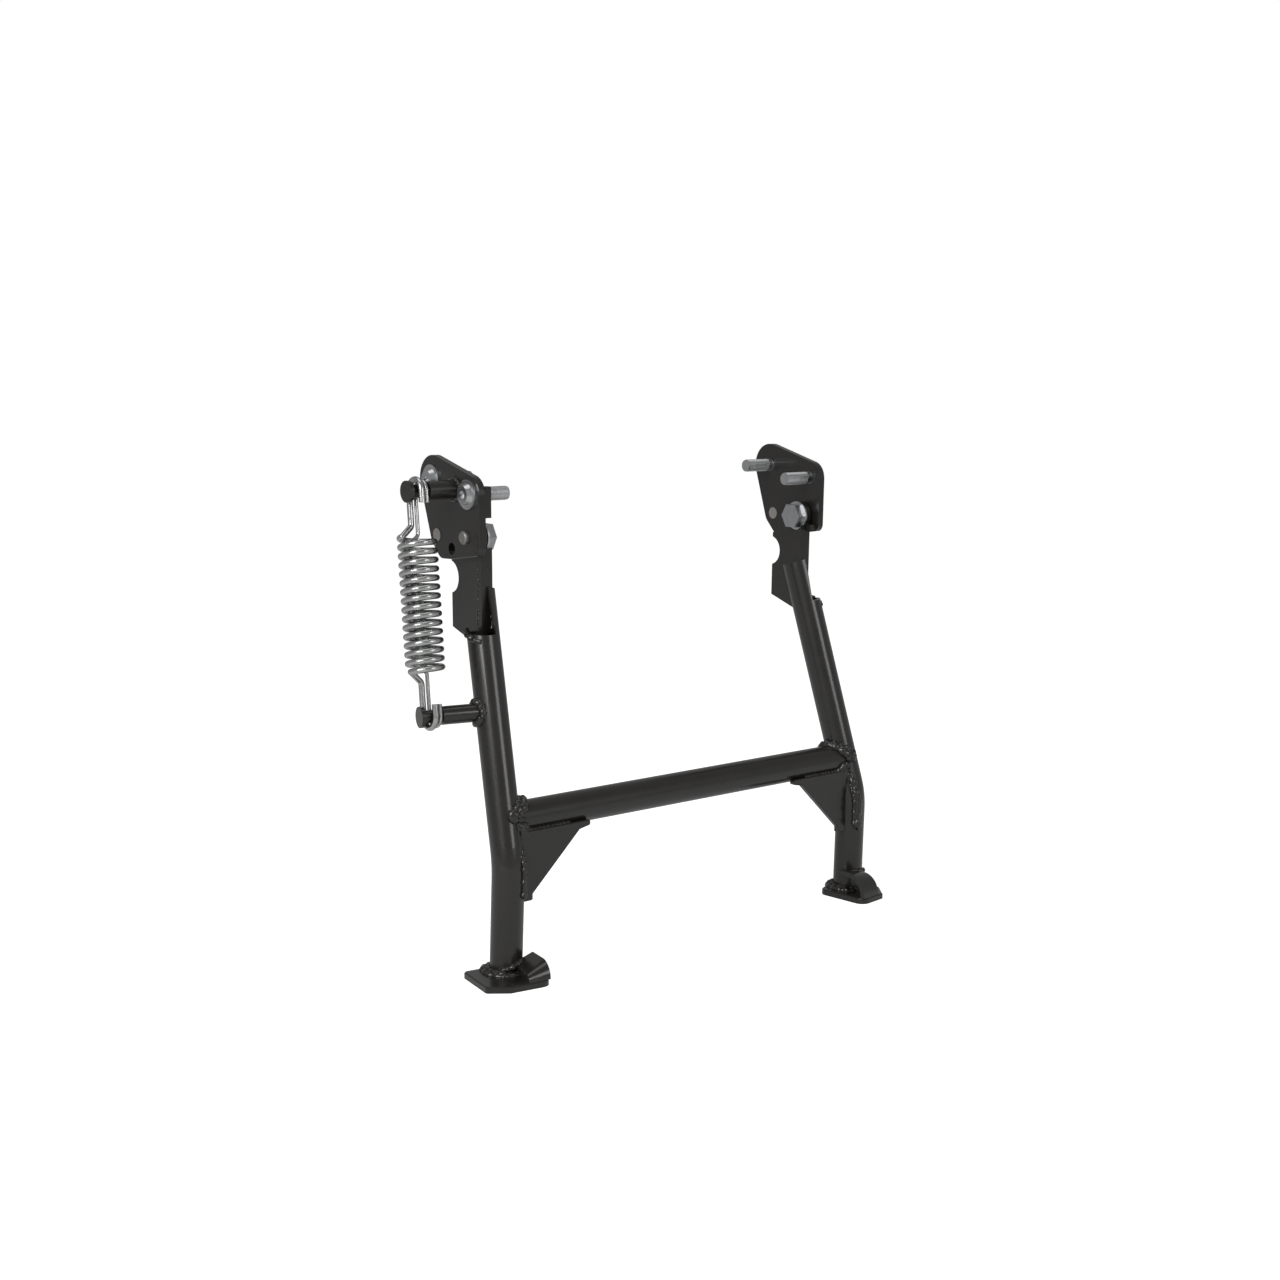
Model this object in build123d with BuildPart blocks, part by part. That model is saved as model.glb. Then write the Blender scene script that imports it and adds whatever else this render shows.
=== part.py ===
# Centre stand of a motorcycle, deployed, in millimetres.
# Origin: axis of the right bracket's rear frame bolt, on the bracket's seating face.
# +X points to the front wheel, +Y to the bike's left side, +Z up.
import os
from math import cos, hypot, radians, sin, tan

from build123d import *

os.makedirs("parts", exist_ok=True)

# Frame bolts and their bracket plates
bolt_pitch = 50.0
bolt_tilt = 9.7
bolt_dia = 10.0
bolt_length = 28.0
bolt_hole_gap = 0.3
bolt_neck_gap = 0.1
bolt_head_dia = 22.0
bolt_head_height = 5.5
bolt_flange_thick = 1.8
bolt_socket_width = 6.0
bolt_socket_depth = 3.2
bolt_dome_share = 0.38
bolt_dome_slope = 25.0
plate_thick = 6.0
rear_lobe_r = 18.0
front_lobe_r = 14.0
hole_lobe_r = 8.0
low_lobe_r = 7.0
low_lobe_back = 13.9
low_lobe_drop = 1.6
dowel_lobe_r = 10.0
plate_front = 19.0
plate_bottom = 13.0
plate_corner_r = 6.0
web_depth = 5.0
web_thick = 5.0
web_length = 23.0
web_drop = 16.6
edge_round = 0.6

# Pivot, measured from the rear frame bolt
pivot_forward = 44.4
pivot_drop = 40.5
pivot_shank_dia = 12.0
pivot_end_dia = 10.0
pivot_end_out = 3.0
pivot_end_bevel = 1.0
pivot_run_gap = 0.05
side_gap = 0.4
pivot_head_flats = 19.0
pivot_head_height = 7.0
washer_dia = 24.0
washer_thick = 1.5
sleeve_dia = 20.0
sleeve_length = 6.0
liner_wall = 2.0
stop_gap = 0.3
stop_length = 6.0
stop_drop = 12.0
stop_height = 5.0

# Pin end and spare hole in the bracket plate, measured from the pivot
dowel_back = 38.5
dowel_drop = 1.0
dowel_dia = 10.0
spare_back = 18.6
spare_drop = 9.8
spare_dia = 9.0

# Ear plates that carry the legs
ear_thick = 5.0
flange_thick = 5.0
flange_depth = 10.0
flange_drop = 6.5
flange_clear = 0.4
ear_setback = 1.3
ear_boss_r = 11.5
ear_front = 10.0
ear_back = 31.0
ear_length = 71.0
notch_back = 34.0
notch_drop = 32.5
notch_r = 12.3
notch_lobe_r = 3.0
ear_foot = 13.0

# Tubes of the stand, measured from the pivot
tube_dia = 25.0
tube_wall = 2.5
stand_width = 340.6
cross_forward = 50.0
cross_drop = 206.2
upper_lean = 16.85
inward_lean = 4.6
knee_below = 31.8
knee_radius = 70.0
ground_drop = 326.8
foot_forward = 57.3
foot_spread = 12.4
tube_top_drop = 40.0
cross_outset = 8.0

# Gusset plates in the corners below the cross tube
gusset_thick = 5.0
gusset_edge = 6.5
gusset_reach = 61.0
gusset_height = 62.5
gusset_forward = 9.5
gusset_tip = 10.0
gusset_nose = 10.0
gusset_top = 8.0
gusset_nose_drop = 12.0
gusset_step = 14.0
gusset_low_cut = 5.0
gusset_round = 1.5

# Feet
sole_thick = 5.0
sole_length = 49.0
sole_back = 12.5
sole_inner = 21.0
sole_outer = 30.0
sole_corner = 8.5
sole_corner_side = 16.0
sole_round = 3.0
sole_inner_round = 8.0
sole_bevel = 1.0
foot_yaw = 8.0
toe_width = 18.0
toe_end_back = 1.0
toe_back = 6.0
toe_high = 13.0
toe_low = 6.0
toe_wall = 4.0
toe_hollow = 14.0
toe_set_in = 1.0
left_sole_inner = 25.0
left_sole_outer = 17.0
left_sole_corner = 14.0
left_toe_high = 20.0
left_toe_low = 17.0
left_toe_width = 20.0
left_toe_end_back = 2.5

# Spring pegs and springs
peg_dia = 14.0
peg_groove_dia = 10.0
peg_groove_width = 13.6
peg_head_dia = 16.0
peg_head_thick = 3.0
upper_hook_outset = 37.7
lower_hook_outset = 47.7
upper_peg_back = 13.5
upper_peg_rise = 34.7
lower_peg_forward = 16.3
lower_peg_drop = 127.8
coil_outer_dia = 30.0
outer_wire = 4.7
inner_wire = 3.0
coil_gap = 0.8
coil_pitch = 6.6
coil_turns = 15.0
inner_turns = 13.0
coil_shift = 5.5
coil_top_drop = 33.0
hook_gap = 1.1
hook_side = 2.4
hook_run = 8.0
hook_bend = 4.0
hook_tail = 9.0
bend_swell = 0.05

# Foot lever on the left leg
lever_thick = 8.0
lever_root_height = 38.0
lever_tip_height = 24.0
lever_rise = 37.0
lever_length = 120.0
lever_yaw = 42.0
lever_climb = 12.0
tread_length = 46.0
tread_width = 26.0
tread_thick = 5.0
tread_round = 5.0

# Places worked out from the sizes above
tube_r = tube_dia / 2
mid = stand_width / 2
pivot_x = pivot_forward
pivot_z = -pivot_drop
ground_z = pivot_z - ground_drop
rear_bolt = (0.0, 0.0)
front_bolt = (bolt_pitch * cos(radians(bolt_tilt)), -bolt_pitch * sin(radians(bolt_tilt)))
cross_x = pivot_x + cross_forward
cross_z = pivot_z - cross_drop
foot_x = pivot_x + foot_forward
foot_y = -foot_spread
leg_y = -cross_outset
upper_peg_at = (pivot_x - upper_peg_back, pivot_z + upper_peg_rise)
lower_peg_at = (pivot_x + lower_peg_forward, pivot_z - lower_peg_drop)
mirror_plane = Plane.XZ.offset(-mid)
cut_reach = sole_length + sole_outer


# A plane that faces outboard on the right side, its local X to the front and Y up
def side_plane(y):
    return Plane(origin=(0, y, 0), x_dir=(1, 0, 0), z_dir=(0, -1, 0))


def write_part(part, name):
    part.label = name
    export_step(part, "parts/" + name + ".step")


# Writes the right piece and its mirror image for the left side
def write_pair(piece, name):
    write_part(piece.part, "right_" + name)
    write_part(piece.part.mirror(mirror_plane), "left_" + name)


# Bracket plate with its folded front web, bolt holes, pivot hole and spare hole
spare_at = (pivot_x - spare_back, pivot_z - spare_drop)
dowel_at = (pivot_x - dowel_back, pivot_z - dowel_drop)
plate_front_x = pivot_x + plate_front
plate_bottom_z = pivot_z - plate_bottom
with BuildPart() as bracket:
    with BuildSketch(side_plane(0)):
        with Locations(rear_bolt):
            Circle(rear_lobe_r)
        with Locations(front_bolt):
            Circle(front_lobe_r)
        with Locations(dowel_at):
            Circle(dowel_lobe_r)
        with Locations(spare_at):
            Circle(hole_lobe_r)
        with Locations((spare_at[0] - low_lobe_back, spare_at[1] - low_lobe_drop)):
            Circle(low_lobe_r)
        with Locations((plate_front_x - plate_corner_r, plate_bottom_z + plate_corner_r)):
            Circle(plate_corner_r)
        with Locations((plate_front_x - plate_corner_r, front_bolt[1])):
            Circle(plate_corner_r)
        make_hull()
    extrude(amount=plate_thick)
    chamfer(bracket.faces().sort_by(Axis.Y)[0].edges(), edge_round)
    with BuildSketch(side_plane(0)):
        with Locations((plate_front_x, front_bolt[1] - web_drop)):
            Rectangle(web_thick, web_length, align=(Align.MAX, Align.MIN))
    extrude(amount=-web_depth)
    with Locations(side_plane(-plate_thick)):
        with Locations(rear_bolt, front_bolt):
            Hole(bolt_dia / 2 + bolt_hole_gap)
        with Locations(spare_at):
            Hole(spare_dia / 2)
        with Locations(dowel_at):
            Hole(dowel_dia / 2)
        with Locations((pivot_x, pivot_z)):
            Hole(pivot_end_dia / 2)
write_pair(bracket, "bracket")

# Stop block welded inside the bracket, in front of the ear's front edge
with BuildPart() as stop_block:
    with BuildSketch(side_plane(0)):
        with Locations((pivot_x + ear_front + stop_gap, pivot_z - stop_drop)):
            Rectangle(stop_length, stop_height, align=(Align.MIN, Align.MIN))
    extrude(amount=-(ear_setback + ear_thick))
write_pair(stop_block, "stop_block")


# Flanged button-head bolt, its head outboard and its end standing out inboard
def frame_bolt(at):
    with BuildPart() as bolt:
        with BuildSketch(side_plane(-plate_thick)):
            with Locations(at):
                Circle(bolt_head_dia / 2)
        extrude(amount=bolt_flange_thick)
        with BuildSketch(side_plane(-plate_thick - bolt_flange_thick)):
            with Locations(at):
                Circle(bolt_head_dia * bolt_dome_share)
        extrude(amount=bolt_head_height - bolt_flange_thick, taper=bolt_dome_slope)
        with BuildSketch(side_plane(-plate_thick - bolt_head_height)):
            with Locations(at):
                RegularPolygon(bolt_socket_width / 2, 6, major_radius=False)
        extrude(amount=-bolt_socket_depth, mode=Mode.SUBTRACT)
        with BuildSketch(side_plane(-plate_thick)):
            with Locations(at):
                Circle(bolt_dia / 2 + bolt_hole_gap - bolt_neck_gap)
        extrude(amount=-plate_thick)
        with BuildSketch(side_plane(0)):
            with Locations(at):
                Circle(bolt_dia / 2)
        extrude(amount=-bolt_length)
    return bolt


write_pair(frame_bolt(rear_bolt), "rear_frame_bolt")
write_pair(frame_bolt(front_bolt), "front_frame_bolt")

# Dowel pressed into the bracket plate, flush on both faces
with BuildPart() as dowel:
    with BuildSketch(side_plane(0)):
        with Locations(dowel_at):
            Circle(dowel_dia / 2)
    extrude(amount=plate_thick + edge_round)
write_pair(dowel, "bracket_dowel")

# Pivot bolt: thin end in the plate, shank in the liner, hex head inboard
washer_y = 2 * side_gap + sleeve_length
head_y = washer_y + washer_thick
with BuildPart() as pivot_bolt:
    with BuildSketch(side_plane(0)):
        with Locations((pivot_x, pivot_z)):
            Circle(pivot_end_dia / 2)
    extrude(amount=plate_thick + pivot_end_out)
    chamfer(pivot_bolt.faces().sort_by(Axis.Y)[0].edges(), pivot_end_bevel)
    with BuildSketch(side_plane(0)):
        with Locations((pivot_x, pivot_z)):
            Circle(pivot_shank_dia / 2)
    extrude(amount=-head_y)
    with BuildSketch(side_plane(head_y)):
        with Locations((pivot_x, pivot_z)):
            RegularPolygon(pivot_head_flats / 2, 6, major_radius=False)
    extrude(amount=-pivot_head_height)
write_pair(pivot_bolt, "pivot_bolt")

with BuildPart() as washer:
    with BuildSketch(side_plane(washer_y)):
        with Locations((pivot_x, pivot_z)):
            Circle(washer_dia / 2)
            Circle(pivot_shank_dia / 2, mode=Mode.SUBTRACT)
    extrude(amount=-washer_thick)
write_pair(washer, "pivot_washer")

# Sleeve welded in the ear, and the bearing liner inside it
liner_r = pivot_shank_dia / 2 + pivot_run_gap
with BuildPart() as sleeve:
    with BuildSketch(side_plane(side_gap)):
        with Locations((pivot_x, pivot_z)):
            Circle(sleeve_dia / 2)
            Circle(liner_r + liner_wall, mode=Mode.SUBTRACT)
    extrude(amount=-sleeve_length)
write_pair(sleeve, "pivot_sleeve")

with BuildPart() as liner:
    with BuildSketch(side_plane(side_gap)):
        with Locations((pivot_x, pivot_z)):
            Circle(liner_r + liner_wall)
            Circle(liner_r, mode=Mode.SUBTRACT)
    extrude(amount=-sleeve_length)
write_pair(liner, "pivot_liner")

# Ear: plate with a boss at the pivot, notch and lobe behind, front flange
ear_low_z = pivot_z - ear_length
with BuildPart() as ear:
    with BuildSketch(side_plane(ear_setback)):
        with Locations((pivot_x, pivot_z)):
            Circle(ear_boss_r)
        with BuildLine():
            Polyline(
                (pivot_x + ear_front, pivot_z),
                (pivot_x - ear_boss_r, pivot_z),
                (pivot_x - ear_back, pivot_z - notch_drop + notch_r + notch_lobe_r),
                (pivot_x - ear_back, ear_low_z),
                (pivot_x + ear_front, ear_low_z - ear_foot),
                close=True,
            )
        make_face()
        with Locations((pivot_x - notch_back, pivot_z - notch_drop)):
            Circle(notch_r, mode=Mode.SUBTRACT)
    extrude(amount=-ear_thick)
    chamfer(ear.faces().sort_by(Axis.Y)[0].edges(), edge_round)
    with BuildSketch(side_plane(ear_setback)):
        with Locations((pivot_x + ear_front, ear_low_z)):
            Rectangle(flange_thick, ear_length - flange_drop, align=(Align.MAX, Align.MIN))
    extrude(amount=-flange_depth)
    with BuildSketch(side_plane(ear_setback + ear_thick)):
        with Locations((pivot_x, pivot_z)):
            Circle(washer_dia / 2 + flange_clear)
    extrude(amount=-flange_depth, mode=Mode.SUBTRACT)
    with Locations(side_plane(ear_setback)):
        with Locations((pivot_x, pivot_z)):
            Hole(sleeve_dia / 2)

# Leg tube along its bent axis, its outboard side cut away at the top for the ear
lean = radians(upper_lean)
inward = radians(inward_lean)
knee = (
    cross_x + knee_below * tan(lean),
    leg_y - knee_below * tan(inward),
    cross_z - knee_below,
)
top_rise = cross_drop - tube_top_drop
leg_top = (
    cross_x - top_rise * tan(lean),
    leg_y + top_rise * tan(inward),
    cross_z + top_rise,
)
leg_bottom = (foot_x, foot_y, ground_z)
with BuildPart() as leg_solid:
    with BuildLine() as leg_axis:
        FilletPolyline(leg_top, knee, leg_bottom, radius=knee_radius)
    with BuildSketch(Plane(origin=leg_axis.line @ 0, z_dir=leg_axis.line % 0)):
        Circle(tube_r)
    sweep(path=leg_axis.line)
with BuildPart() as leg:
    with BuildSketch(Plane(origin=leg_axis.line @ 0, z_dir=leg_axis.line % 0)):
        Circle(tube_r)
        Circle(tube_r - tube_wall, mode=Mode.SUBTRACT)
    sweep(path=leg_axis.line)
    with BuildSketch(Plane.XY.offset(ear_low_z)):
        with Locations((leg_top[0], ear_setback + ear_thick)):
            Rectangle(cut_reach, cut_reach, align=(Align.CENTER, Align.MAX))
    extrude(amount=ear_length, mode=Mode.SUBTRACT)
    add(ear.part, mode=Mode.SUBTRACT)
    with BuildSketch(Plane.XY.offset(ground_z + sole_thick)):
        with Locations((foot_x, foot_y)):
            Rectangle(cut_reach, cut_reach)
    extrude(amount=-cut_reach, mode=Mode.SUBTRACT)
write_pair(leg, "leg")
write_pair(ear, "ear")

# Cross tube between the legs, its ends coped to them
with BuildPart() as cross_tube:
    with BuildSketch(side_plane(leg_y)):
        with Locations((cross_x, cross_z)):
            Circle(tube_r)
            Circle(tube_r - tube_wall, mode=Mode.SUBTRACT)
    extrude(amount=-(2 * (mid - leg_y)))
    add(leg_solid.part, mode=Mode.SUBTRACT)
    add(leg_solid.part.mirror(mirror_plane), mode=Mode.SUBTRACT)
write_part(cross_tube.part, "cross_tube")

# Gusset plate in the corner, in front of the tubes and coped to both, with a nose on the cross tube
with BuildPart() as gusset:
    with BuildSketch(Plane.YZ.offset(cross_x + gusset_forward)) as gusset_sketch:
        with BuildLine():
            Polyline(
                (leg_y + gusset_edge, cross_z - gusset_top),
                (leg_y + gusset_reach + gusset_nose, cross_z - gusset_top),
                (leg_y + gusset_reach + gusset_nose, cross_z - gusset_nose_drop),
                (leg_y + gusset_reach, cross_z - gusset_step),
                (leg_y + gusset_edge + gusset_tip, cross_z - gusset_height + gusset_low_cut),
                (leg_y + gusset_edge + gusset_tip, cross_z - gusset_height),
                (leg_y + gusset_edge, cross_z - gusset_height),
                (leg_y + gusset_edge - gusset_low_cut, cross_z - gusset_height + gusset_low_cut),
                close=True,
            )
        make_face()
        fillet(gusset_sketch.vertices(), gusset_round)
    extrude(amount=gusset_thick)
    chamfer(gusset.faces().sort_by(Axis.X)[-1].edges(), edge_round)
    add(leg_solid.part, mode=Mode.SUBTRACT)
    with BuildSketch(side_plane(leg_y)):
        with Locations((cross_x, cross_z)):
            Circle(tube_r)
    extrude(amount=-gusset_reach * 2, mode=Mode.SUBTRACT)
write_pair(gusset, "gusset")

# Sole plate, turned a little outwards, with its front outer corner cut
foot_plane = Plane(
    origin=(foot_x, foot_y, ground_z),
    x_dir=(cos(radians(foot_yaw)), -sin(radians(foot_yaw)), 0),
    z_dir=(0, 0, 1),
)


def sole_plate(inner, outer, corner, corner_side):
    with BuildPart() as sole:
        with BuildSketch(foot_plane) as sole_sketch:
            with BuildLine():
                Polyline(
                    (-sole_back, inner),
                    (sole_length - sole_back, inner),
                    (sole_length - sole_back, -outer + corner_side),
                    (sole_length - sole_back - corner, -outer),
                    (-sole_back, -outer),
                    close=True,
                )
            make_face()
            fillet(sole_sketch.vertices().group_by(Axis.Y)[-1], sole_inner_round)
            fillet(sole_sketch.vertices().group_by(Axis.Y)[0], sole_round)
        extrude(amount=sole_thick)
        chamfer(sole.faces().sort_by(Axis.Z)[-1].edges(), sole_bevel)
    return sole


right_sole = sole_plate(sole_inner, sole_outer, sole_corner, sole_corner_side)
write_part(right_sole.part, "right_sole_plate")
left_sole = sole_plate(left_sole_inner, left_sole_outer, left_sole_corner, left_sole_corner)
write_part(left_sole.part.mirror(mirror_plane), "left_sole_plate")


# Outline of the rolled toe at one station: flat top, rounded nose, upright front
def toe_outline(station, height, inset):
    front = sole_length - sole_back - toe_set_in - inset
    nose = height - edge_round
    plane = Plane(
        origin=foot_plane.from_local_coords((0, station, sole_thick)),
        x_dir=foot_plane.x_dir,
        z_dir=-foot_plane.y_dir,
    )
    with BuildSketch(plane) as outline:
        with BuildLine():
            Line((toe_back, 0), (toe_back, height))
            Line((toe_back, height), (front - nose, height))
            ThreePointArc(
                (front - nose, height),
                (front - nose + nose * sin(radians(45)), height - nose + nose * cos(radians(45))),
                (front, height - nose),
            )
            Line((front, height - nose), (front, 0))
            Line((front, 0), (toe_back, 0))
        make_face()
    return outline.sketch


# Rolled toe on the sole plate, hollow from its inboard end, its back against the leg
def rolled_toe(inboard, width, high, low):
    slope = (high - low) / width
    with BuildPart() as toe:
        loft([toe_outline(inboard, high, 0), toe_outline(inboard - width, low, 0)])
        loft(
            [
                toe_outline(inboard, high - toe_wall, toe_wall),
                toe_outline(inboard - toe_hollow, high - toe_wall - slope * toe_hollow, toe_wall),
            ],
            mode=Mode.SUBTRACT,
        )
        add(leg_solid.part, mode=Mode.SUBTRACT)
    return toe


right_toe = rolled_toe(sole_inner - toe_end_back, toe_width, toe_high, toe_low)
write_part(right_toe.part, "right_rolled_toe")
left_toe_end = left_sole_inner - left_toe_end_back
left_toe = rolled_toe(left_toe_end, left_toe_width, left_toe_high, left_toe_low)
write_part(left_toe.part.mirror(mirror_plane), "left_rolled_toe")


# Peg with a groove for the spring hooks and a head at its end
def peg_along(plane, groove_at, length):
    with BuildPart() as peg:
        with BuildSketch(plane):
            Circle(peg_dia / 2)
        extrude(amount=length)
        with BuildSketch(plane.offset(groove_at - peg_groove_width / 2)):
            Circle(peg_dia / 2 + edge_round)
            Circle(peg_groove_dia / 2, mode=Mode.SUBTRACT)
        extrude(amount=peg_groove_width, mode=Mode.SUBTRACT)
        with BuildSketch(plane.offset(length)):
            Circle(peg_head_dia / 2)
        extrude(amount=peg_head_thick)
    return peg


upper_peg_plane = Plane(
    origin=(upper_peg_at[0], -plate_thick, upper_peg_at[1]), x_dir=(1, 0, 0), z_dir=(0, -1, 0)
)
peg_reach = upper_hook_outset - plate_thick
upper_peg = peg_along(upper_peg_plane, peg_reach, peg_reach + peg_groove_width / 2 + edge_round)
write_part(upper_peg.part, "upper_spring_peg")

leg_slope_x = (leg_top[0] - cross_x) / top_rise
leg_slope_y = (leg_top[1] - leg_y) / top_rise
peg_up = lower_peg_at[1] - cross_z
leg_at_peg = (cross_x + leg_slope_x * peg_up, leg_y + leg_slope_y * peg_up)
peg_run = (lower_peg_at[0] - leg_at_peg[0], -lower_hook_outset - leg_at_peg[1])
lower_reach = hypot(peg_run[0], peg_run[1])
lower_peg_plane = Plane(
    origin=(leg_at_peg[0], leg_at_peg[1], lower_peg_at[1]),
    x_dir=(0, 0, 1),
    z_dir=(peg_run[0] / lower_reach, peg_run[1] / lower_reach, 0),
)
lower_peg = peg_along(lower_peg_plane, lower_reach, lower_reach + peg_groove_width / 2 + edge_round)
with BuildPart() as lower_peg_coped:
    add(lower_peg.part)
    add(leg_solid.part, mode=Mode.SUBTRACT)
write_part(lower_peg_coped.part, "lower_spring_peg")

# Springs: a helix with a hook at each end, in a frame whose Z runs down the spring
upper_hook = Vector(upper_peg_at[0], -upper_hook_outset, upper_peg_at[1])
lower_hook = Vector(lower_peg_at[0], -lower_hook_outset, lower_peg_at[1])
spring_length = (lower_hook - upper_hook).length
spring_down = (lower_hook - upper_hook).normalized()
spring_plane = Plane(
    origin=upper_hook, x_dir=spring_down.cross(Vector(1, 0, 0)).normalized(), z_dir=spring_down
)


# One spring: the coil's radius at the wire's middle, its wire, its place in the groove, its ends.
# It is drawn with Z along the coil and then moved to its pegs.
def spring(coil_r, wire, side, top, turns):
    loop_r = peg_groove_dia / 2 + wire / 2 + hook_gap
    low = top + coil_pitch * turns
    with BuildPart() as piece:
        with BuildLine() as coil:
            Helix(coil_pitch, coil_pitch * turns, coil_r, center=(0, coil_shift, top))
        with BuildSketch(Plane(origin=coil.line @ 0, z_dir=coil.line % 0)):
            Circle(wire / 2)
        sweep(path=coil.line, is_frenet=True)
        for far, way, start in ((0.0, 1, top), (spring_length, -1, low)):
            first = Vector(coil_r, coil_shift, start)
            second = Vector(side, loop_r, start - way * hook_run)
            with BuildLine() as hook:
                FilletPolyline(first, second, (side, loop_r, far), radius=hook_bend)
                ThreePointArc((side, loop_r, far), (side, 0, far - way * loop_r), (side, -loop_r, far))
                Line((side, -loop_r, far), (side, -loop_r, far + way * hook_tail))
            with BuildSketch(Plane(origin=first, z_dir=second - first)):
                Circle(wire / 2)
            sweep(path=hook.line)
            with Locations(first):
                Sphere(wire / 2 + bend_swell)
    piece.part = piece.part.moved(spring_plane.location)
    return piece


outer_coil_r = (coil_outer_dia - outer_wire) / 2
inner_coil_r = coil_outer_dia / 2 - outer_wire - coil_gap - inner_wire / 2
outer_spring = spring(outer_coil_r, outer_wire, hook_side, coil_top_drop, coil_turns)
write_part(outer_spring.part, "outer_spring")
inner_top = coil_top_drop + coil_pitch
inner_spring = spring(inner_coil_r, inner_wire, -hook_side, inner_top, inner_turns)
write_part(inner_spring.part, "inner_spring")

# Foot lever on the left leg: a tapered bar on edge with a tread plate on its end.
# Both are drawn at the right leg and mirrored when they are written.
lever_plane = Plane(
    origin=(foot_x, foot_y, ground_z + lever_rise),
    x_dir=(-cos(radians(lever_yaw)), -sin(radians(lever_yaw)), 0),
    z_dir=(-sin(radians(lever_yaw)), cos(radians(lever_yaw)), 0),
)
with BuildPart() as lever:
    with BuildSketch(lever_plane):
        with BuildLine():
            Polyline(
                (0, -lever_root_height / 2),
                (0, lever_root_height / 2),
                (lever_length - tread_length, lever_climb + lever_tip_height / 2),
                (lever_length, lever_climb + lever_tip_height / 2),
                (lever_length, lever_climb - lever_tip_height / 2),
                close=True,
            )
        make_face()
    extrude(amount=lever_thick / 2, both=True)
    add(leg_solid.part, mode=Mode.SUBTRACT)
    add(left_sole.part, mode=Mode.SUBTRACT)
lever.part = lever.part.mirror(mirror_plane)
write_part(lever.part, "foot_lever")

tread_low = lever_climb + lever_tip_height / 2
tread_plane = Plane(
    origin=lever_plane.from_local_coords((lever_length - tread_length, tread_low, 0)),
    x_dir=lever_plane.x_dir,
    z_dir=lever_plane.y_dir,
)
with BuildPart() as tread:
    with BuildSketch(tread_plane) as tread_sketch:
        Rectangle(tread_length, tread_width, align=(Align.MIN, Align.CENTER))
        fillet(tread_sketch.vertices(), tread_round)
    extrude(amount=tread_thick)
tread.part = tread.part.mirror(mirror_plane)
write_part(tread.part, "lever_tread")
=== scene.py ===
"""Looks of a motorcycle centre stand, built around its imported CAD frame."""

from math import cos, radians, sin, tan

import bpy
import numpy as np
from mathutils import Matrix, Vector


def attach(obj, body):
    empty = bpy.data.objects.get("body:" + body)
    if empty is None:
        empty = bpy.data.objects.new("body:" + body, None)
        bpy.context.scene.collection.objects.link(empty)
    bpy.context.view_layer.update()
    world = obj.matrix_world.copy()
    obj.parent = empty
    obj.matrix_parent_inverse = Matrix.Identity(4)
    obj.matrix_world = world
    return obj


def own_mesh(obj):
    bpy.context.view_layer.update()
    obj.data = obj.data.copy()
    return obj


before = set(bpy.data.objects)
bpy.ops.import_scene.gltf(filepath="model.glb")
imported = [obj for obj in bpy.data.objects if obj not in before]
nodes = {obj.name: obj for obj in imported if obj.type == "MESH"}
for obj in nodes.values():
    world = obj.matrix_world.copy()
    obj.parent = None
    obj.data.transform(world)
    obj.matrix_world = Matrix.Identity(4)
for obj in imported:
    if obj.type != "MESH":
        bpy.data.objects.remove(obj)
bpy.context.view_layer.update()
mm = 0.001


# The two brackets: 6 mm steel plate with a folded front edge, bolted to the motorcycle's
# frame. Plate and stop block are welded first and then powder coated in semi-gloss black.
class Wire:
    """One output socket of a shader graph; arithmetic on it adds the Math nodes."""

    def __init__(self, graph, socket):
        self.graph = graph
        self.socket = socket

    def math(self, operation, first, second):
        return self.graph.add("ShaderNodeMath", {"operation": operation}, {0: first, 1: second})

    def __add__(self, other):
        return self.math("ADD", self, other)

    def __radd__(self, other):
        return self.math("ADD", other, self)

    def __sub__(self, other):
        return self.math("SUBTRACT", self, other)

    def __rsub__(self, other):
        return self.math("SUBTRACT", other, self)

    def __mul__(self, other):
        return self.math("MULTIPLY", self, other)


class Finish:
    """The shader graph of one finish, ending in its Principled shader."""

    sockets = {
        "base": "Base Color",
        "rough": "Roughness",
        "metal": "Metallic",
        "normal": "Normal",
        "coat": "Coat Weight",
        "coat_rough": "Coat Roughness",
    }

    def __init__(self, name):
        self.material = bpy.data.materials.new(name)
        self.material.use_nodes = True
        self.tree = self.material.node_tree
        self.shader = self.tree.nodes["Principled BSDF"]

    def put(self, socket, value):
        if isinstance(value, Wire):
            self.tree.links.new(value.socket, socket)
        else:
            socket.default_value = value

    def add(self, kind, settings, values, output=0):
        """One node with its settings, and with values or links on its inputs."""
        node = self.tree.nodes.new(kind)
        for key, value in settings.items():
            setattr(node, key, value)
        for key, value in values.items():
            self.put(node.inputs[key], value)
        return Wire(self, node.outputs[output])

    def spot(self):
        """The place on the piece, in metres."""
        return self.add("ShaderNodeTexCoord", {}, {}, "Object")

    def noise(self, scale, detail):
        """Soft noise from 0 to 1, with this many swings to the metre."""
        values = {"Vector": self.spot(), "Scale": scale, "Detail": detail}
        return self.add("ShaderNodeTexNoise", {}, values)

    def step(self, value, low, high):
        """0 below low, 1 above high, and a smooth rise between them."""
        values = {"Value": value, "From Min": low, "From Max": high}
        return self.add("ShaderNodeMapRange", {"interpolation_type": "SMOOTHSTEP"}, values)

    def blend(self, share, first, second):
        values = {0: share, 6: first, 7: second}
        return self.add("ShaderNodeMix", {"data_type": "RGBA"}, values, 2)

    def bump(self, height, depth):
        return self.add("ShaderNodeBump", {}, {"Height": height, "Distance": depth})

    def done(self, **values):
        for key, value in values.items():
            self.put(self.shader.inputs[self.sockets[key]], value)
        return self.material


def dress(material, *names):
    """Gives one finish to these CAD nodes."""
    for name in names:
        nodes[name].data.materials.clear()
        nodes[name].data.materials.append(material)


def pair(*names):
    """The right and the left node of each of these names."""
    return [side + name for name in names for side in ("right_", "left_")]


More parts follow.
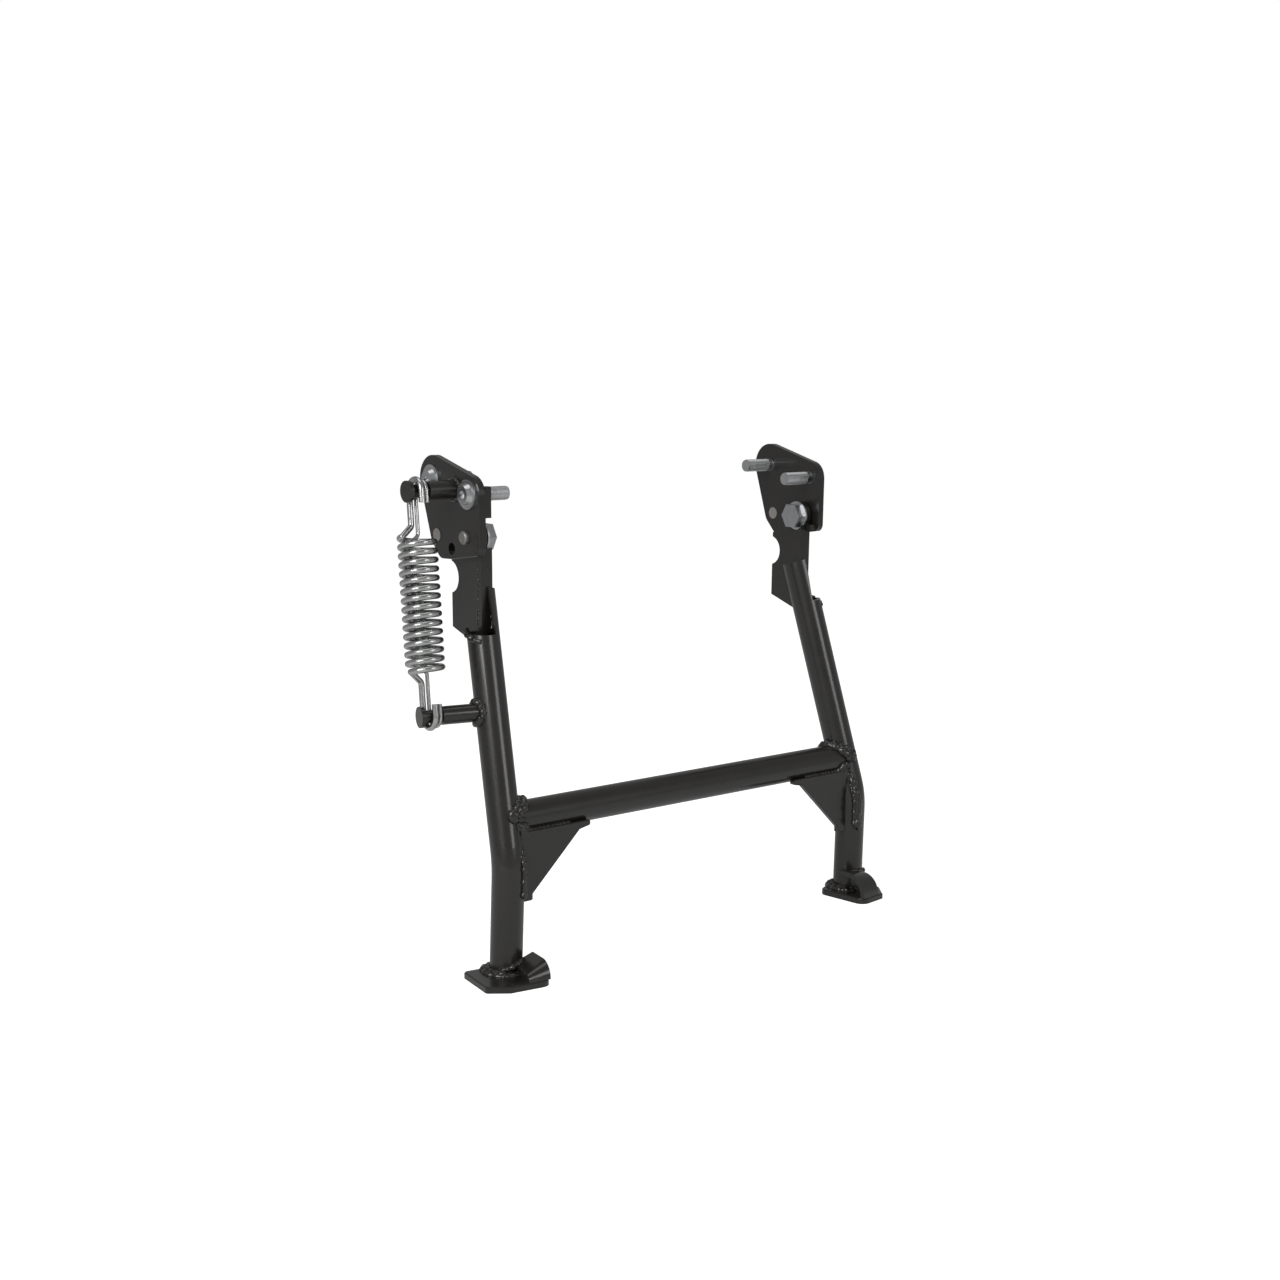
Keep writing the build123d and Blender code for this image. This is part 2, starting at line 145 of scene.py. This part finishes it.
finish = Finish("black_powder_coat")
orange_peel = finish.noise(700, 2)
cloud = finish.noise(60, 3)
dust = finish.step(finish.noise(2600, 2), 0.62, 0.78)
coat_black = finish.blend(cloud, (0.010, 0.0088, 0.0078, 1), (0.018, 0.016, 0.014, 1))
powder_coat = finish.done(
    base=finish.blend(dust * 0.35, coat_black, (0.07, 0.07, 0.065, 1)),
    rough=0.26 + cloud * 0.12,
    normal=finish.bump(orange_peel, 0.00007),
    coat=0.6,
    coat_rough=0.1,
)
dress(powder_coat, *pair("bracket", "stop_block"))

# The dowels and the turned ends of the pivot bolts: bare steel, gone dull. The dowels are
# pressed into the bracket plates, and the pivot bolts stand 3 mm out of them.
stand_width = 340.6
dull_start, dull_end = stand_width / 2 + 1, stand_width / 2 + 2
finish = Finish("bare_steel")
stain = finish.noise(420, 4)
bare_steel = finish.done(
    base=finish.blend(stain, (0.30, 0.28, 0.26, 1), (0.52, 0.50, 0.47, 1)),
    rough=0.42 + stain * 0.2,
    metal=0.7,
)
dress(bare_steel, *pair("bracket_dowel"))
finish = Finish("pivot_steel")
stain = finish.noise(420, 4)
across_stand = finish.add("ShaderNodeSeparateXYZ", {}, {"Vector": finish.spot()}, 1)
out_of_middle = across_stand - stand_width * mm / 2
distance = finish.add("ShaderNodeMath", {"operation": "ABSOLUTE"}, {0: out_of_middle})
turned_end = finish.step(distance, dull_start * mm, dull_end * mm)
dull = finish.blend(stain, (0.24, 0.225, 0.21, 1), (0.44, 0.42, 0.39, 1))
zinc = finish.blend(stain, (0.42, 0.43, 0.44, 1), (0.62, 0.63, 0.64, 1))
pivot_steel = finish.done(
    base=finish.blend(turned_end, zinc, dull),
    rough=0.26 + stain * 0.16 + turned_end * 0.16,
    metal=1.0 - turned_end * 0.3,
)
dress(pivot_steel, *pair("pivot_bolt"))

# The frame bolts: M10 flanged button heads, zinc plated, with rolled threads on the ends
# that go into the motorcycle's frame. The threads start 4 mm from the seating faces.
finish = Finish("zinc_plated_bolt")
stain = finish.noise(300, 4)
zinc_bolt = finish.done(
    base=finish.blend(stain, (0.52, 0.53, 0.54, 1), (0.72, 0.73, 0.74, 1)),
    rough=0.22 + stain * 0.16,
    metal=1.0,
)
dress(zinc_bolt, *pair("rear_frame_bolt", "front_frame_bolt", "pivot_washer"))
bolt_pitch, bolt_slope = 50.0, radians(9.7)
front_bolt = (bolt_pitch * cos(bolt_slope), -bolt_pitch * sin(bolt_slope))
thread_pitch, thread_start, thread_end = 1.5, 4.0, 27.0
thread_foot, thread_crest, thread_half = 4.9, 5.25, 0.5
thread_steps = 36


def thread(name, axis_x, axis_z, start, end):
    """A rolled thread: a three-cornered ridge wound about the bolt's axis, 36 steps to a
    turn. Its foot lies inside the 10 mm shank, and its crest 0.25 mm outside it."""
    turns = abs(end - start) / thread_pitch
    count = int(turns * thread_steps)
    turn = np.linspace(0, 2 * np.pi * turns, count)[:, None]
    along = np.linspace(start, end, count)[:, None] + np.array([-thread_half, 0.0, thread_half])
    out = np.array([thread_foot, thread_crest, thread_foot])
    points = np.stack([axis_x + out * np.cos(turn), along, axis_z + out * np.sin(turn)], -1)
    row = np.arange(count - 1)[:, None] * 3
    column = np.arange(3)[None]
    after = (column + 1) % 3
    strips = np.stack([row + column, row + 3 + column, row + 3 + after, row + after], -1)
    faces = strips.reshape(-1, 4)
    mesh = bpy.data.meshes.new(name)
    ends = [[0, 1, 2], [count * 3 - 1, count * 3 - 2, count * 3 - 3]]
    mesh.from_pydata((points.reshape(-1, 3) * mm).tolist(), [], faces.tolist() + ends)
    mesh.materials.append(zinc_bolt)
    ridge = bpy.data.objects.new(name, mesh)
    bpy.context.scene.collection.objects.link(ridge)
    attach(ridge, "brackets")


for bolt_name, (bolt_x, bolt_z) in (("rear", (0.0, 0.0)), ("front", front_bolt)):
    thread("right_" + bolt_name + "_thread", bolt_x, bolt_z, thread_start, thread_end)
    far_start, far_end = stand_width - thread_start, stand_width - thread_end
    thread("left_" + bolt_name + "_thread", bolt_x, bolt_z, far_start, far_end)

# The ears: cut steel plate with a front flange, welded to the legs and bushed with a steel
# sleeve and a bronze liner for the pivot bolt.
dress(powder_coat, *pair("ear", "pivot_sleeve"))
finish = Finish("bearing_bronze")
bearing_bronze = finish.done(
    base=finish.blend(finish.noise(200, 3), (0.40, 0.26, 0.11, 1), (0.52, 0.36, 0.17, 1)),
    rough=0.4,
    metal=1.0,
)
dress(bearing_bronze, *pair("pivot_liner"))

pivot_x, pivot_z = 44.4, -40.5
bead_sides = 12


def weld(name, path, radius, ripple=2.2, body="stand", closed=False, seed=0):
    """A weld seam: a ring of 12 points is carried along the path, five rings to a ripple.
    Its radius is the nominal one times 1 + 0.16 sin of the ripples laid down, plus a slow
    random swell of three sines. The ring sways off the path once in two ripples and has
    three low lumps. An open end is drawn in to a fifth of the radius."""
    path = np.asarray(path, float)
    if closed:
        path = np.vstack([path, path[:1]])
    run = np.concatenate([[0], np.cumsum(np.linalg.norm(np.diff(path, axis=0), axis=1))])
    count = max(12, int(run[-1] / ripple * 5))
    at = np.linspace(0, run[-1], count, endpoint=not closed)
    spine = np.column_stack([np.interp(at, run, path[:, k]) for k in range(3)])
    if closed:
        ahead = np.roll(spine, -1, axis=0) - np.roll(spine, 1, axis=0)
    else:
        ahead = np.gradient(spine, axis=0)
    ahead /= np.linalg.norm(ahead, axis=1)[:, None]
    helper = np.array([0.31, 0.22, 0.92])
    across = np.cross(ahead, helper)
    across /= np.linalg.norm(across, axis=1)[:, None]
    upward = np.cross(across, ahead)
    random = np.random.default_rng(seed)
    waves = random.uniform(0, 2 * np.pi, 3)
    turns = max(1, round(run[-1] / ripple))
    phase = at / run[-1] * 2 * np.pi
    swell = sum(0.07 * np.sin(phase * (k + 2) + waves[k]) for k in range(3))
    size = radius * (1 + 0.16 * np.sin(phase * turns) + swell)
    if not closed:
        size = size * np.sqrt(np.clip(np.minimum(at, run[-1] - at) / radius, 0, 1) * 0.96 + 0.04)
    wander = 0.12 * radius * np.sin(phase * turns * 0.5 + waves[0])
    angle = np.linspace(0, 2 * np.pi, bead_sides, endpoint=False)
    sideways = across[:, None] * np.cos(angle)[None, :, None]
    ring = sideways + upward[:, None] * np.sin(angle)[None, :, None]
    lumps = 1 + 0.06 * np.sin(3 * angle[None] + phase[:, None] * turns)
    bead = spine[:, None] + ring * (size[:, None] * lumps)[..., None]
    points = bead + (across * wander[:, None])[:, None]
    row = np.arange(count if closed else count - 1)[:, None] * bead_sides
    column = np.arange(bead_sides)[None]
    following = (column + 1) % bead_sides
    next_row = (row + bead_sides) % (count * bead_sides)
    strips = [row + column, row + following, next_row + following, next_row + column]
    faces = np.stack(strips, -1).reshape(-1, 4)[:, ::-1].tolist()
    if not closed:
        last_ring = range((count - 1) * bead_sides, count * bead_sides)
        faces += [list(range(bead_sides)), list(last_ring)[::-1]]
    mesh = bpy.data.meshes.new(name)
    mesh.from_pydata((points.reshape(-1, 3) * mm).tolist(), [], faces)
    mesh.polygons.foreach_set("use_smooth", [True] * len(faces))
    mesh.materials.append(powder_coat)
    seam = bpy.data.objects.new(name, mesh)
    bpy.context.scene.collection.objects.link(seam)
    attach(seam, body)


def weld_pair(name, path, radius, **options):
    """The same seam on both sides, the left one mirrored about the middle of the stand."""
    path = np.asarray(path, float)
    weld("right_" + name, path, radius, **options)
    weld("left_" + name, path * [1, -1, 1] + [0, stand_width, 0], radius, **options)


ear_front, ear_face, ear_back_face = 10.0, 1.3, 11.3
seam_x, seam_y = pivot_x + ear_front - 5.5, ear_face + 1.4
ear_line = [(seam_x, seam_y, -60), (seam_x - 0.5, seam_y, -108)]
weld_pair("ear_seam", ear_line, 1.8, ripple=3.6, seed=1)
flange_x = pivot_x + ear_front - 1
flange_line = [(flange_x, ear_back_face, -82), (flange_x, ear_back_face, -112)]
weld_pair("flange_seam", flange_line, 2.0, ripple=4.5, seed=2)

# The legs and the cross tube: 25 mm steel tube. The legs lean forwards and are bent upright
# below the cross tube, whose ends are coped and welded all round.
dress(powder_coat, *pair("leg"), "cross_tube")
tube_r = 12.5
cross_x, cross_z = pivot_x + 50.0, pivot_z - 206.2
leg_y = -8.0
crossing = np.array([cross_x, leg_y, cross_z])
lean, inward = radians(16.85), radians(4.6)
knee_drop, ear_foot_z = 31.8, -111.5
knee_x = cross_x + knee_drop * tan(lean)
foot = np.array([pivot_x + 57.3, -12.4, pivot_z - 326.8])
upper_axis = np.array([-tan(lean), tan(inward), 1.0])
upper_axis /= np.linalg.norm(upper_axis)


def saddle(start, along, radius, other, other_along, other_radius):
    """Where one round bar meets another: at each angle around the first bar, the point on
    its skin moves along it until its distance from the other bar's axis is that radius."""
    along = np.asarray(along, float) / np.linalg.norm(along)
    side = np.cross(along, [0.0, 0.0, 1.0])
    side /= np.linalg.norm(side)
    top = np.cross(side, along)
    angle = np.linspace(0.0, 2 * np.pi, 73)[:, None]
    skin = np.asarray(start) + radius * (np.cos(angle) * side + np.sin(angle) * top)
    gap = skin - np.asarray(other)
    gap = gap - (gap @ other_along)[:, None] * other_along
    slide = along - (along @ other_along) * other_along
    a, b = slide @ slide, gap @ slide
    c = (gap * gap).sum(axis=1) - other_radius**2
    reach = (-b + np.sqrt(np.clip(b * b - a * c, 0, None))) / a
    return skin + reach[:, None] * along


joint_ring = saddle(crossing, (0, 1, 0), tube_r, crossing, upper_axis, tube_r)
weld_pair("cross_tube_weld", joint_ring, 4.6, ripple=5.5, seed=3)
second_pass = crossing + (joint_ring - crossing) * [1.05, 1, 1.05] + [0, 4.5, 0]
weld_pair("cross_tube_cover_weld", second_pass, 3.4, ripple=6.3, seed=13)
leg_at_ear = crossing + upper_axis * ((ear_foot_z - cross_z) / upper_axis[2])
around = np.radians(np.linspace(-150, -25, 20))
collar_r = tube_r + 0.1
collar = leg_at_ear + np.column_stack([
    collar_r * np.cos(around), collar_r * np.sin(around), -2 - 4 * np.cos(around)
])
weld_pair("ear_foot_weld", collar, 2.4, ripple=4.5, seed=4)

# The gussets: 5 mm plate in the corners below the cross tube, in front of both tubes,
# with a nose along the cross tube. Each is welded to its leg and under the cross tube.
dress(powder_coat, *pair("gusset"))
gusset_x = cross_x + 10.0
gusset_top = [(gusset_x, leg_y + 10, cross_z - 8.5), (gusset_x - 0.5, leg_y + 56, cross_z - 8.5)]
weld_pair("gusset_top_weld", gusset_top, 1.7, ripple=4.0, seed=5)
gusset_side = [
    (gusset_x + 1, leg_y + 4.5, cross_z - 12),
    (knee_x + 11.2, leg_y + 4.2, cross_z - 32),
    (knee_x + 11.0, leg_y + 3.4, cross_z - 58),
]
weld_pair("gusset_side_weld", gusset_side, 2.2, ripple=5.0, seed=6)
left_leg_y = stand_width - leg_y
broad_seam = [
    (gusset_x + 1.2, left_leg_y - 3.5, cross_z - 9),
    (knee_x + 12.2, left_leg_y - 1.5, cross_z - 32),
    (knee_x + 12.0, left_leg_y - 0.5, cross_z - 61),
]
weld("left_gusset_cover_weld", broad_seam, 3.6, ripple=9.0, seed=11)

# The feet: a sole plate under each leg and a rolled toe on its front edge, which the stand
# rocks over when the motorcycle is lifted. Both are welded to the leg.
dress(powder_coat, *pair("sole_plate", "rolled_toe"))
sole_top = foot[2] + 5.0
seam_r, seam_lift = tube_r + 0.7, 0.6
around = np.linspace(0, 2 * np.pi, 49)[:-1]
foot_ring = np.column_stack([
    foot[0] + seam_r * np.cos(around),
    foot[1] + seam_r * np.sin(around),
    np.full(48, sole_top + seam_lift),
])
weld_pair("sole_weld", foot_ring, 3.2, ripple=5.2, closed=True, seed=7)
outer_ring = foot + (foot_ring - foot) * [1.26, 1.26, 1] - [0, 0, seam_lift]
weld_pair("sole_cover_weld", outer_ring, 2.6, ripple=6.1, closed=True, seed=14)
around = np.radians(np.linspace(-50, 35, 14))
for side, level, lift, seed in (("right_", 7.0, 4.5, 8), ("left_", 16.0, 2.0, 12)):
    toe_line = np.column_stack([
        foot[0] + seam_r * np.cos(around),
        foot[1] + seam_r * np.sin(around),
        sole_top + level + lift * np.sin(around),
    ])
    if side == "left_":
        toe_line = toe_line * [1, -1, 1] + [0, stand_width, 0]
    weld(side + "toe_weld", toe_line, 2.4, ripple=4.4, seed=seed)

# The spring pegs: turned steel with a groove for the hooks and a head, one welded to the
# right bracket and one to the right leg.
dress(powder_coat, "upper_spring_peg", "lower_spring_peg")
peg_r = 7.0
peg_seam_r, bracket_outside = peg_r + 0.6, -6.4
upper_peg = (pivot_x - 13.5, pivot_z + 34.7)
lower_hook = np.array([pivot_x + 16.3, -47.7, pivot_z - 127.8])
around = np.linspace(0, 2 * np.pi, 41)[:-1]
peg_ring = np.column_stack([
    upper_peg[0] + peg_seam_r * np.cos(around),
    np.full(40, bracket_outside),
    upper_peg[1] + peg_seam_r * np.sin(around),
])
weld("upper_peg_weld", peg_ring, 1.9, ripple=3.6, body="brackets", closed=True, seed=9)
leg_at_peg = crossing + upper_axis * ((lower_hook[2] - cross_z) / upper_axis[2])
peg_run = lower_hook - leg_at_peg
peg_root = saddle(leg_at_peg, peg_run, peg_r + 0.8, leg_at_peg, upper_axis, tube_r)
weld("lower_peg_weld", peg_root, 3.2, ripple=4.8, seed=10)

# The springs: a light spring inside a heavy one, both of zinc-plated wire, hooked over the
# pegs. They draw together as the stand folds up.
finish = Finish("zinc_plated_wire")
stain = finish.noise(240, 4)
zinc_wire = finish.done(
    base=finish.blend(stain, (0.46, 0.47, 0.46, 1), (0.68, 0.69, 0.68, 1)),
    rough=0.18 + stain * 0.14,
    metal=1.0,
)
dress(zinc_wire, "outer_spring", "inner_spring")
for name in ("outer_spring", "inner_spring"):
    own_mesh(nodes[name])

# The foot lever: a flat bar on the left leg, which the rider treads on to raise the
# motorcycle, with a small tread plate at its end.
dress(powder_coat, "foot_lever", "lever_tread")
lever_yaw, lever_half, lever_low, lever_high = radians(42.0), 4.0, 20.0, 55.0
lever_way = np.array([-cos(lever_yaw), sin(lever_yaw), 0])
lever_side = np.array([sin(lever_yaw), cos(lever_yaw), 0])
left_foot = np.array([foot[0], stand_width - foot[1], foot[2]])
for name, turn in (("lever_front_weld", -1), ("lever_back_weld", 1)):
    root = left_foot + lever_way * (tube_r + 0.4) + lever_side * turn * (lever_half + 0.4)
    lever_line = [root + [0, 0, lever_low], root + [0.7, 0, lever_high]]
    weld(name, lever_line, 2.2, ripple=4.8, seed=15 + turn)

# The studio: white paper under and behind the stand, large soft lamps, and the view from
# the front right and a little above, at the height of the brackets.
ground = foot[2] * mm
paper_half, paper_glow = 8.0, 0.8
paper_mesh = bpy.data.meshes.new("paper")
corner_signs = ((-1, -1), (1, -1), (1, 1), (-1, 1))
corners = [(x * paper_half, y * paper_half, ground) for x, y in corner_signs]
paper_mesh.from_pydata(corners, [], [(0, 1, 2, 3)])
paper = bpy.data.objects.new("paper", paper_mesh)
bpy.context.scene.collection.objects.link(paper)
finish = Finish("white_paper")
seen = finish.add("ShaderNodeLightPath", {}, {}, "Is Camera Ray")
finish.done(base=(0.85, 0.85, 0.85, 1), rough=0.9)
finish.put(finish.shader.inputs["Emission Color"], (1, 1, 1, 1))
finish.put(finish.shader.inputs["Emission Strength"], seen * paper_glow)
paper_mesh.materials.append(finish.material)

studio = bpy.data.worlds.new("studio")
studio.use_nodes = True
bpy.context.scene.world = studio
sky = studio.node_tree
rays = sky.nodes.new("ShaderNodeLightPath")
direction = sky.nodes.new("ShaderNodeSeparateXYZ")
sky.links.new(sky.nodes.new("ShaderNodeTexCoord").outputs["Generated"], direction.inputs["Vector"])
room = sky.nodes.new("ShaderNodeMapRange")
for key, value in (("From Min", -0.1), ("From Max", 0.9), ("To Min", 0.34), ("To Max", 0.2)):
    room.inputs[key].default_value = value
sky.links.new(direction.outputs["Z"], room.inputs["Value"])
level = sky.nodes.new("ShaderNodeMix")
level.inputs["B"].default_value = 1.0
sky.links.new(rays.outputs["Is Camera Ray"], level.inputs["Factor"])
sky.links.new(room.outputs["Result"], level.inputs["A"])
sky.links.new(level.outputs["Result"], sky.nodes["Background"].inputs["Strength"])
sky.nodes["Background"].inputs["Color"].default_value = (1, 1, 1, 1)

lamp_target = Vector((0.08, 0.17, -0.2))
for name, place, size, power in (
    ("left_softbox", (0.9, -2.0, 1.2), 1.2, 26),
    ("right_softbox", (2.4, 0.8, 0.8), 0.9, 8),
    ("overhead_softbox", (-0.1, 0.1, 2.0), 1.4, 7),
):
    lamp = bpy.data.lights.new(name, "AREA")
    lamp.size = size
    lamp.energy = power
    holder = bpy.data.objects.new(name, lamp)
    holder.location = place
    holder.rotation_euler = (lamp_target - Vector(place)).to_track_quat("-Z", "Y").to_euler()
    bpy.context.scene.collection.objects.link(holder)

azimuth, pitch, roll = radians(51.31), radians(13.89), radians(0.5)
focal_px, image_px, middle_row, sensor_width = 1766.3, 1280, 790, 36
camera_place = (1.1575, -0.7286, 0.0939)
looking = Vector((-sin(azimuth) * cos(pitch), cos(azimuth) * cos(pitch), -sin(pitch)))
level_right = Vector((cos(azimuth), sin(azimuth), 0))
level_up = level_right.cross(looking)
image_right = cos(roll) * level_right + sin(roll) * level_up
image_up = cos(roll) * level_up - sin(roll) * level_right
lens = bpy.data.cameras.new("view")
lens.sensor_fit = "HORIZONTAL"
lens.sensor_width = sensor_width
lens.lens = focal_px / image_px * sensor_width
lens.shift_y = (middle_row - image_px / 2) / image_px
camera = bpy.data.objects.new("view", lens)
turn = Matrix((image_right, image_up, -looking)).transposed().to_4x4()
camera.matrix_world = Matrix.Translation(camera_place) @ turn
bpy.context.scene.collection.objects.link(camera)
bpy.context.scene.camera = camera
bpy.context.scene.view_settings.view_transform = "Standard"
